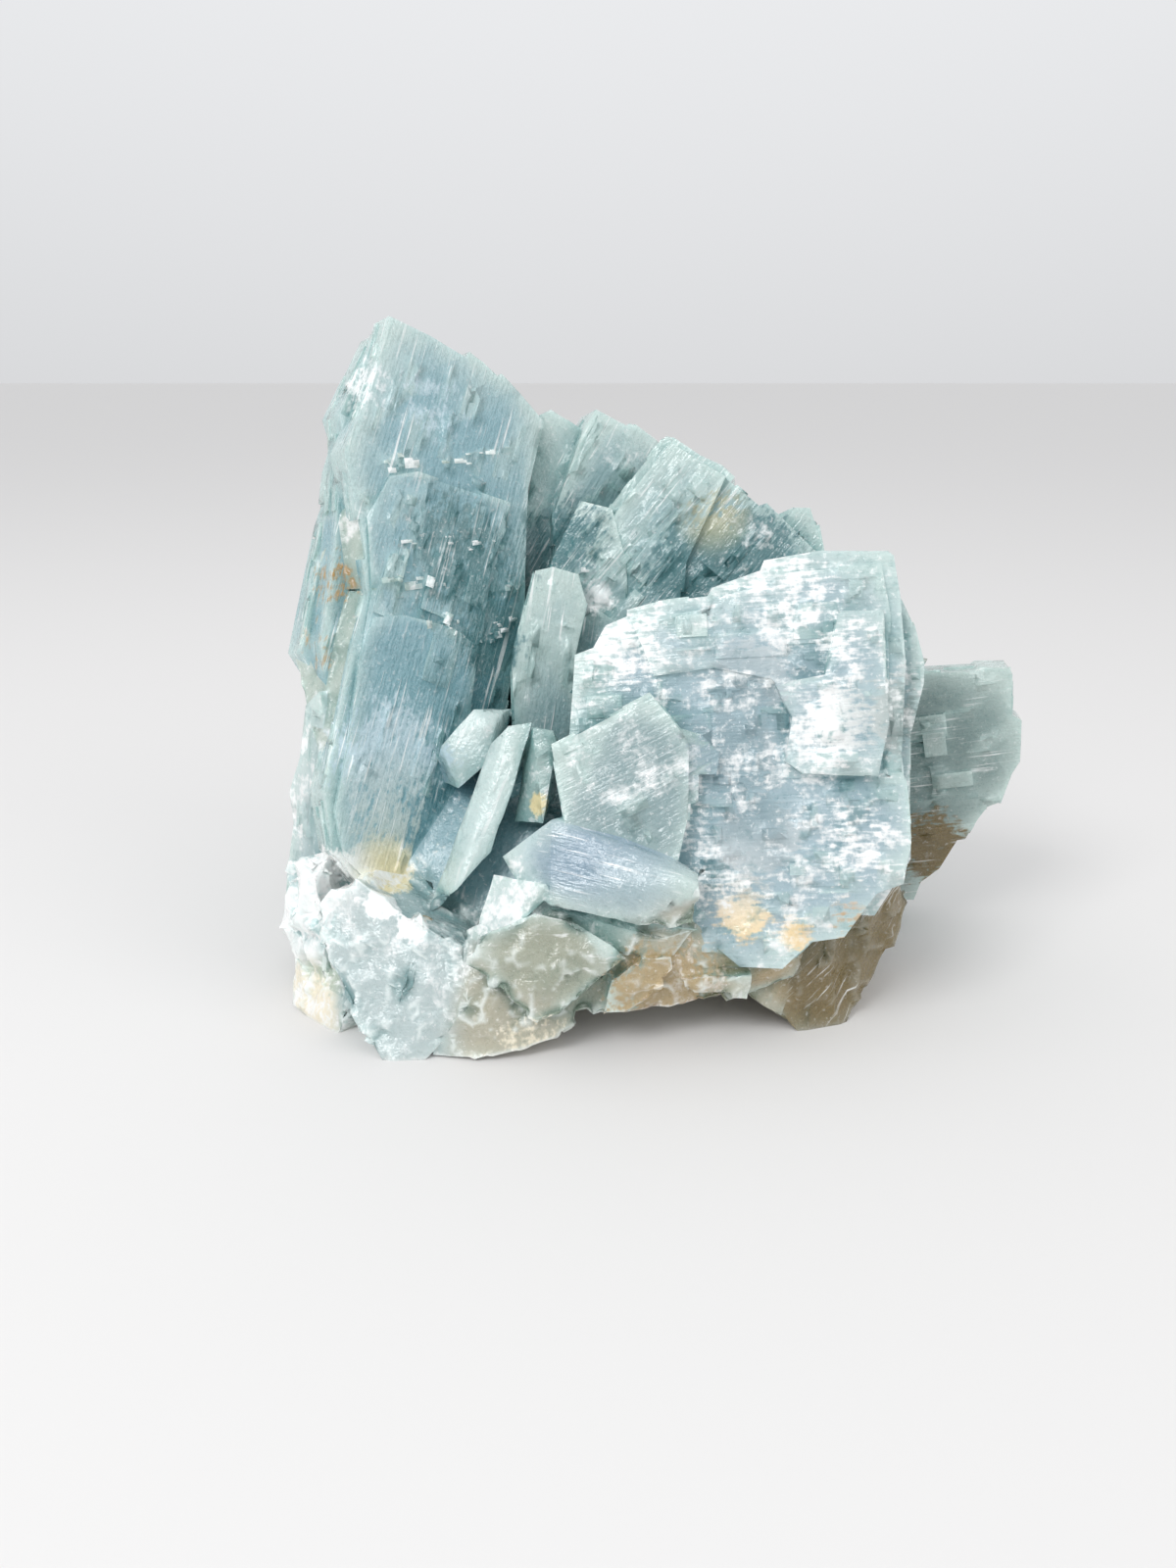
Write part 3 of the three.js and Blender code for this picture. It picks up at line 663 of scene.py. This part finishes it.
# Each corner's share of the base's roughness: the least of the facets that meet there, and none on a crystal
def roughness(mesh, chunk):
    of_face = np.where(chunk < 0, 0, SHARES[chunk])
    of_corner = np.ones(len(mesh.vertices))
    corners = read(mesh.loops, "vertex_index", kind=int)
    np.minimum.at(of_corner, corners, np.repeat(of_face, read(mesh.polygons, "loop_total", kind=int)))
    return of_corner


# How far the broken base stands out at a place: hollow facets, each tipped its own way, that meet in ridges
def facet_height(place):
    heights = []
    for middle in noise.voronoi(place / FACET["apart"])[1]:
        away = place - middle * FACET["apart"]
        tip = noise.cell_vector(middle) - Vector(HALF)
        heights.append(FACET["slope"] * tip.dot(away) + FACET["hollow"] * away.length_squared)
    return min(heights)


# The broken base is faceted and rough and the crystals' faces wave a little; the feet stay on the floor
def roughen(mesh, share):
    places, normals = read(mesh.vertices, "co", 3), read(mesh.vertices, "normal", 3)
    lumps = np.array([noise.fractal(Vector(place) * LUMPS_PER_MM, *LUMP_OCTAVES) for place in places])
    rise = lumps * (WAVY + (ROUGH - WAVY) * share)
    for index in np.nonzero(share)[0]:
        rise[index] += share[index] * facet_height(Vector(places[index]))
    rise *= np.clip(places[:, 2] / FOOT_HEIGHT, 0, 1)
    places += normals * rise[:, None]
    places[:, 2] = np.maximum(places[:, 2], 0)
    mesh.vertices.foreach_set("co", places.ravel())
    mesh.update()


# How sharply the surface falls away round each corner, from 0 where it is flat or hollow to 1
def ridged(mesh):
    ends = read(mesh.edges, "vertices", 2, int)
    places, normals = read(mesh.vertices, "co", 3), read(mesh.vertices, "normal", 3)
    fall, count = np.zeros(len(places)), np.zeros(len(places))
    for here, there in ((ends[:, 0], ends[:, 1]), (ends[:, 1], ends[:, 0])):
        way = places[there] - places[here]
        way /= np.linalg.norm(way, axis=1)[:, None]
        np.add.at(fall, here, -np.sum(way * normals[here], axis=1))
        np.add.at(count, here, 1)
    return np.clip((fall / count - RIDGE_FROM) * RIDGE_GAIN, 0, 1)


# Directions spread evenly over the half above a facet
def hemisphere():
    turn = math.pi * (3 - math.sqrt(5))
    heights = [(i + 0.5) / RAYS for i in range(RAYS)]
    return [
        Vector((math.sqrt(1 - z * z) * math.cos(i * turn), math.sqrt(1 - z * z) * math.sin(i * turn), z))
        for i, z in enumerate(heights)]


# How thin the crystal is under each corner, and how deep in a recess the corner lies, both from 0 to 1
def depths(mesh):
    tree = BVHTree.FromPolygons(
        [vert.co for vert in mesh.vertices], [tuple(face.vertices) for face in mesh.polygons])
    directions = hemisphere()
    thin = np.zeros(len(mesh.vertices))
    recess_shade = np.zeros(len(mesh.vertices))
    for index, vert in enumerate(mesh.vertices):
        turn = vert.normal.to_track_quat("Z", "Y")
        under, over = vert.co - vert.normal * RAY_START, vert.co + vert.normal * RAY_START
        for direction in directions:
            ray = turn @ direction
            length = tree.ray_cast(under, -ray)[3]
            thin[index] += math.exp(-length / THIN_REACH) if length else 0
            length = tree.ray_cast(over, ray, RECESS_REACH)[3]
            recess_shade[index] += 1 - length / RECESS_REACH if length else 0
    return blurred(mesh, thin / RAYS), blurred(mesh, recess_shade / RAYS)


# Each corner's value evened out with its neighbours' values
def blurred(mesh, values):
    ends = read(mesh.edges, "vertices", 2, int)
    for _ in range(BLUR_PASSES):
        total, count = values.copy(), np.ones(len(values))
        for a, b in ((0, 1), (1, 0)):
            np.add.at(total, ends[:, a], values[ends[:, b]])
            np.add.at(count, ends[:, a], 1)
        values = total / count
    return values


# Stain and painted shade colour and amount at each point
def stained_and_shaded(points):
    colour = np.zeros((len(points), 4))
    for at, radius, name, amount in STAINS_AND_SHADE.values():
        away = np.linalg.norm(points - np.array(at), axis=1) / radius
        near = np.clip(STAIN_SLOPE - STAIN_SLOPE * away, 0, 1) * amount
        share = np.divide(near, near + colour[:, 3], out=np.zeros(len(points)), where=near > 0)
        colour[:, :3] += (np.array(COLOURS[name]) - colour[:, :3]) * share[:, None]
        colour[:, 3] = np.maximum(colour[:, 3], near)
    return colour


# Growth coordinates, body colour and frost on every facet's corners; the base's colours run into each other
def marks(mesh, owner, edge, chunk):
    face_of = np.repeat(np.arange(len(mesh.polygons)), read(mesh.polygons, "loop_total", kind=int))
    places = read(mesh.vertices, "co", 3)[read(mesh.loops, "vertex_index", kind=int)]
    owner, edge, chunk = owner[face_of], edge[face_of], chunk[face_of]
    lattice = places.copy()
    colour = np.ones((len(places), 4))
    frost = np.zeros(len(places))
    parts = [(chunk == i, chunk_axes(broken), broken) for i, broken in enumerate(CHUNKS.values())]
    for index, crystal in enumerate(CRYSTALS.values()):
        along, across, out = AXES[index]
        parts.append(((owner == index) & ~edge, (along, across, out), crystal))
        parts.append(((owner == index) & edge, (along, out, across), crystal))
    for part, axes, look in parts:
        lattice[part] = places[part] @ np.array(axes).T
        colour[part, :3] = COLOURS[look["colour"]]
        frost[part] = look["frost"]
    broken = chunk >= 0
    share = np.exp(-BLEND * radii_away(places[broken]))
    share /= share.sum(axis=0)
    colour[broken, :3] = share.T @ np.array([COLOURS[look["colour"]] for look in CHUNKS.values()])
    frost[broken] = share.T @ np.array([look["frost"] for look in CHUNKS.values()])
    return lattice, colour, frost


# Keeps values on the mesh, for the material to read
def store(mesh, name, kind, domain, key, values):
    mesh.attributes.new(name, kind, domain).data.foreach_set(key, values.astype(np.float32).ravel())


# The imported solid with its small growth, relief and marks, in metres
def specimen():
    bm = cad_solid()
    tree = BVHTree.FromBMesh(bm)
    mesh = bpy.data.meshes.new("barite")
    bm.to_mesh(mesh)
    owner, edge, chunk = label(read(mesh.polygons, "center", 3), read(mesh.polygons, "normal", 3))
    pieces = [
        *face_growth(bm, tree, owner, edge), *edge_growth(bm, tree, owner, edge),
        *base_growth(bm, tree, chunk), *glint_growth(tree)]
    body = bpy.data.objects.new("barite", mesh)
    bpy.context.collection.objects.link(body)
    grow(body, [piece for piece in pieces if min(point.z for point in piece[0]) > FLOOR_GAP])
    mesh = body.data
    rim = refine(mesh)
    owner, edge, chunk = label(read(mesh.polygons, "center", 3), read(mesh.polygons, "normal", 3))
    lattice, colour, frost = marks(mesh, owner, edge, chunk)
    share = roughness(mesh, chunk)
    roughen(mesh, share)
    thin, recess_shade = depths(mesh)
    store(mesh, "lattice", "FLOAT_VECTOR", "CORNER", "vector", lattice)
    store(mesh, "body", "FLOAT_COLOR", "CORNER", "color", colour)
    store(mesh, "frost", "FLOAT", "CORNER", "value", frost)
    # Painted glow of light through thin crystal, weaker on the broken base
    store(mesh, "thin", "FLOAT", "POINT", "value", thin * (1 - BROKEN_THIN * share))
    # Worn edges, pale partly from frost and partly as a painted highlight
    store(mesh, "worn_and_highlit", "FLOAT", "POINT", "value", ridged(mesh) * share)
    # Sharp ridges, painted pale partly as frost and partly as a painted highlight
    store(mesh, "rim", "FLOAT", "POINT", "value", rim)
    # Painted shade: how deep in a recess each corner lies, to darken its colour
    store(mesh, "recess_shade", "FLOAT", "POINT", "value", recess_shade)
    # Stains and painted shade on every corner
    store(mesh, "stain_and_shade", "FLOAT_COLOR", "POINT", "color", stained_and_shaded(read(mesh.vertices, "co", 3)))
    mesh.transform(Matrix.Scale(MM, 4))
    mesh.shade_smooth()
    mesh.set_sharp_from_angle(angle=math.radians(SHARP_ANGLE))
    return body


# One shader node with its settings and inputs
def node(tree, kind, inputs=None, **settings):
    made = tree.nodes.new(kind)
    for key, value in settings.items():
        setattr(made, key, value)
    for key, value in (inputs or {}).items():
        if isinstance(value, bpy.types.NodeSocket):
            tree.links.new(value, made.inputs[key])
        else:
            made.inputs[key].default_value = value
    return made


def attribute(tree, name, output="Fac"):
    return node(tree, "ShaderNodeAttribute", attribute_name=name).outputs[output]


def mixed(tree, factor, first, second, blend="MIX"):
    inputs = {"Factor": factor, MIX_FIRST: first, MIX_SECOND: second}
    return node(tree, "ShaderNodeMix", inputs, data_type="RGBA", blend_type=blend).outputs[MIX_RESULT]


# A value led along one of the curves
def curved(tree, value, name):
    low, high, to_low, to_high = CURVES[name]
    return node(tree, "ShaderNodeMapRange", {
        "Value": value, "From Min": low, "From Max": high, "To Min": to_low, "To Max": to_high},
        interpolation_type="SMOOTHSTEP").outputs["Result"]


# The sum of values, each with its weight
def weighted(tree, *terms):
    total = None
    for value, weight in terms:
        inputs = {0: value, 1: weight} if total is None else {0: value, 1: weight, 2: total}
        operation = "MULTIPLY" if total is None else "MULTIPLY_ADD"
        total = node(tree, "ShaderNodeMath", inputs, operation=operation).outputs[0]
    return total


def product(tree, first, second):
    return node(tree, "ShaderNodeMath", {0: first, 1: second}, operation="MULTIPLY").outputs[0]


def stretched(tree, points, scale):
    return node(tree, "ShaderNodeVectorMath", {0: points, 1: scale}, operation="MULTIPLY").outputs[0]


# One of the noises over points in mm
def ripples(tree, points, name):
    scale, detail, roughness = RIPPLES[name]
    return node(tree, "ShaderNodeTexNoise", {
        "Vector": stretched(tree, points, scale), "Scale": 1.0, "Detail": detail, "Roughness": roughness,
    }).outputs["Fac"]


# A random colour for each square growth cell over points in mm
def cells(tree, points):
    return node(tree, "ShaderNodeTexVoronoi", {
        "Vector": stretched(tree, points, CELLS_PER_MM), "Scale": 1.0, "Randomness": CELL_RANDOMNESS,
    }, distance="CHEBYCHEV").outputs["Color"]


def rgba(name):
    return (*COLOURS[name], 1)


# Milky blue barite with stains, frost, growth lines and a glassy skin
def barite_material():
    material = bpy.data.materials.new("barite")
    material.use_nodes = True
    tree = material.node_tree
    shader = tree.nodes["Principled BSDF"]
    shader.subsurface_method = "BURLEY"
    frost = attribute(tree, "frost")
    lattice = attribute(tree, "lattice", "Vector")
    place = node(tree, "ShaderNodeTexCoord").outputs["Object"]
    spot = node(tree, "ShaderNodeVectorMath", {0: place, "Scale": 1 / MM}, operation="SCALE").outputs[0]

    cloud = ripples(tree, spot, "cloud")
    mottle = ripples(tree, spot, "mottle")
    grain = ripples(tree, spot, "grain")
    streak = ripples(tree, lattice, "streak")
    dash = ripples(tree, lattice, "dash")
    squares = cells(tree, lattice)
    tile = node(tree, "ShaderNodeSeparateColor", {"Color": squares}).outputs[0]

    # Painted glow of light through the crystal where it is thin, and painted shade deep in the recesses
    thin = curved(tree, attribute(tree, "thin"), "thin")
    colour = mixed(tree, thin, attribute(tree, "body", "Color"), rgba("thin_edge_glow"))
    recess_shade = curved(tree, attribute(tree, "recess_shade"), "recess_shade")
    colour = mixed(tree, recess_shade, colour, rgba("shade"), "MULTIPLY")

    # Stains and painted shade with ragged outlines
    stain_and_shade = attribute(tree, "stain_and_shade", "Color")
    amount = attribute(tree, "stain_and_shade", "Alpha")
    torn = weighted(tree, (amount, 1.0), (dash, 0.6), (mottle, 0.6), (grain, 0.4))
    spread = product(tree, curved(tree, torn, "stain_torn"), curved(tree, amount, "stain_inside"))
    colour = mixed(tree, spread, colour, stain_and_shade)

    # Milky veils of fine grains and short steps, stronger where the crystal is frosted
    ripple = weighted(tree, (cloud, 0.9), (mottle, 0.8), (dash, 0.3), (grain, 0.4), (tile, 0.15))
    swing = node(tree, "ShaderNodeMath", {0: ripple, 1: VEIL_MIDDLE}, operation="SUBTRACT").outputs[0]
    swing = product(tree, swing, curved(tree, frost, "veil_swing"))
    veil = weighted(tree, (swing, 1.0), (frost, 0.25))
    colour = mixed(tree, curved(tree, veil, "veil_white"), colour, rgba("snow"))
    colour = mixed(tree, curved(tree, veil, "veil_shade"), colour, rgba("shade"), "MULTIPLY")

    # Pale worn and sharp ridges, partly frost and partly a painted highlight; fine scratches along the
    # growth lines, and white specks
    worn_and_highlit = curved(tree, attribute(tree, "worn_and_highlit"), "worn_and_highlit")
    worn_and_highlit = product(tree, worn_and_highlit, curved(tree, frost, "worn_and_highlit_frosted"))
    colour = mixed(tree, worn_and_highlit, colour, rgba("frost_and_highlight_edge"))
    ridge = curved(tree, attribute(tree, "rim"), "ridge")
    ridge = product(tree, ridge, curved(tree, cloud, "ridge_cloud"))
    colour = mixed(tree, ridge, colour, rgba("frost_and_highlight_edge"))
    clear = product(tree, curved(tree, cloud, "scratch_cloud"), curved(tree, frost, "scratch_frosted"))
    scratch = product(tree, curved(tree, streak, "scratch"), clear)
    colour = mixed(tree, scratch, colour, rgba("snow"))
    speck = product(tree, curved(tree, grain, "speck"), curved(tree, frost, "speck_frosted"))
    colour = mixed(tree, speck, colour, rgba("snow"))
    tree.links.new(colour, shader.inputs["Base Color"])

    rough = weighted(tree, (grain, 0.35), (frost, 0.15), (streak, 0.2))
    tree.links.new(rough, shader.inputs["Roughness"])
    height = weighted(tree, (streak, 0.4), (dash, 0.5), (tile, 0.08), (grain, 0.6))
    bump = node(tree, "ShaderNodeBump", {"Height": height, **BUMP})
    tree.links.new(bump.outputs["Normal"], shader.inputs["Normal"])

    # A glassy skin of small squares, each tipped its own way, that catches the light in glints
    tip = node(tree, "ShaderNodeVectorMath", {0: squares, 1: HALF}, operation="SUBTRACT").outputs[0]
    skin = node(tree, "ShaderNodeVectorMath", {
        0: tip, 1: SKIN_TILT, 2: bump.outputs["Normal"]}, operation="MULTIPLY_ADD").outputs[0]
    tree.links.new(skin, shader.inputs["Coat Normal"])
    for key, value in SHADER.items():
        shader.inputs[key].default_value = value
    return material


def plain_material(name, colour, roughness):
    material = bpy.data.materials.new(name)
    material.use_nodes = True
    shader = material.node_tree.nodes["Principled BSDF"]
    shader.inputs["Base Color"].default_value = (*colour, 1)
    shader.inputs["Roughness"].default_value = roughness
    return material


def soft_light(name, at, size, power):
    data = bpy.data.lights.new(name, "AREA")
    data.size = size * MM
    data.energy = power
    lamp = bpy.data.objects.new(name, data)
    lamp.location = Vector(at) * MM
    lamp.rotation_euler = (Vector(LIGHT_AIM) - Vector(at)).to_track_quat("-Z", "Y").to_euler()
    bpy.context.collection.objects.link(lamp)


# A pale floor, a large soft window to the left and a weaker fill to the right
def studio():
    bpy.ops.mesh.primitive_plane_add(size=FLOOR["size"])
    floor = bpy.context.object
    floor.name = "floor"
    floor.data.materials.append(plain_material("paper", FLOOR["colour"], FLOOR["roughness"]))
    for name, light in LIGHTS.items():
        soft_light(name, **light)
    bpy.context.scene.view_settings.view_transform = "Standard"


# A room that is brightest above and behind the specimen
def room():
    world = bpy.data.worlds.new("room")
    world.use_nodes = True
    tree = world.node_tree
    facing = node(tree, "ShaderNodeTexCoord").outputs["Generated"]
    axes = node(tree, "ShaderNodeSeparateXYZ", {"Vector": facing}).outputs
    depth = weighted(tree, (axes["Y"], ROOM_BEHIND), (axes["Z"], 1.0))
    tree.nodes["Background"].inputs["Color"].default_value = (*ROOM_TINT, 1)
    tree.links.new(curved(tree, depth, "room"), tree.nodes["Background"].inputs["Strength"])
    bpy.context.scene.world = world


# The photograph's viewpoint: close to the specimen and looking down on it
def viewpoint():
    data = bpy.data.cameras.new("viewpoint")
    data.sensor_width = VIEWPOINT["sensor"]
    data.lens = VIEWPOINT["lens"]
    data.clip_start = MM
    data.clip_end = VIEWPOINT["far"]
    camera = bpy.data.objects.new("viewpoint", data)
    camera.location = Vector(VIEWPOINT["at"]) * MM
    camera.rotation_euler = (math.radians(VIEWPOINT["tilt"]), 0, 0)
    bpy.context.collection.objects.link(camera)
    bpy.context.scene.camera = camera


piece = specimen()
piece.data.materials.clear()
piece.data.materials.append(barite_material())
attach(piece, "root")
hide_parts("barite_cluster")
studio()
room()
viewpoint()
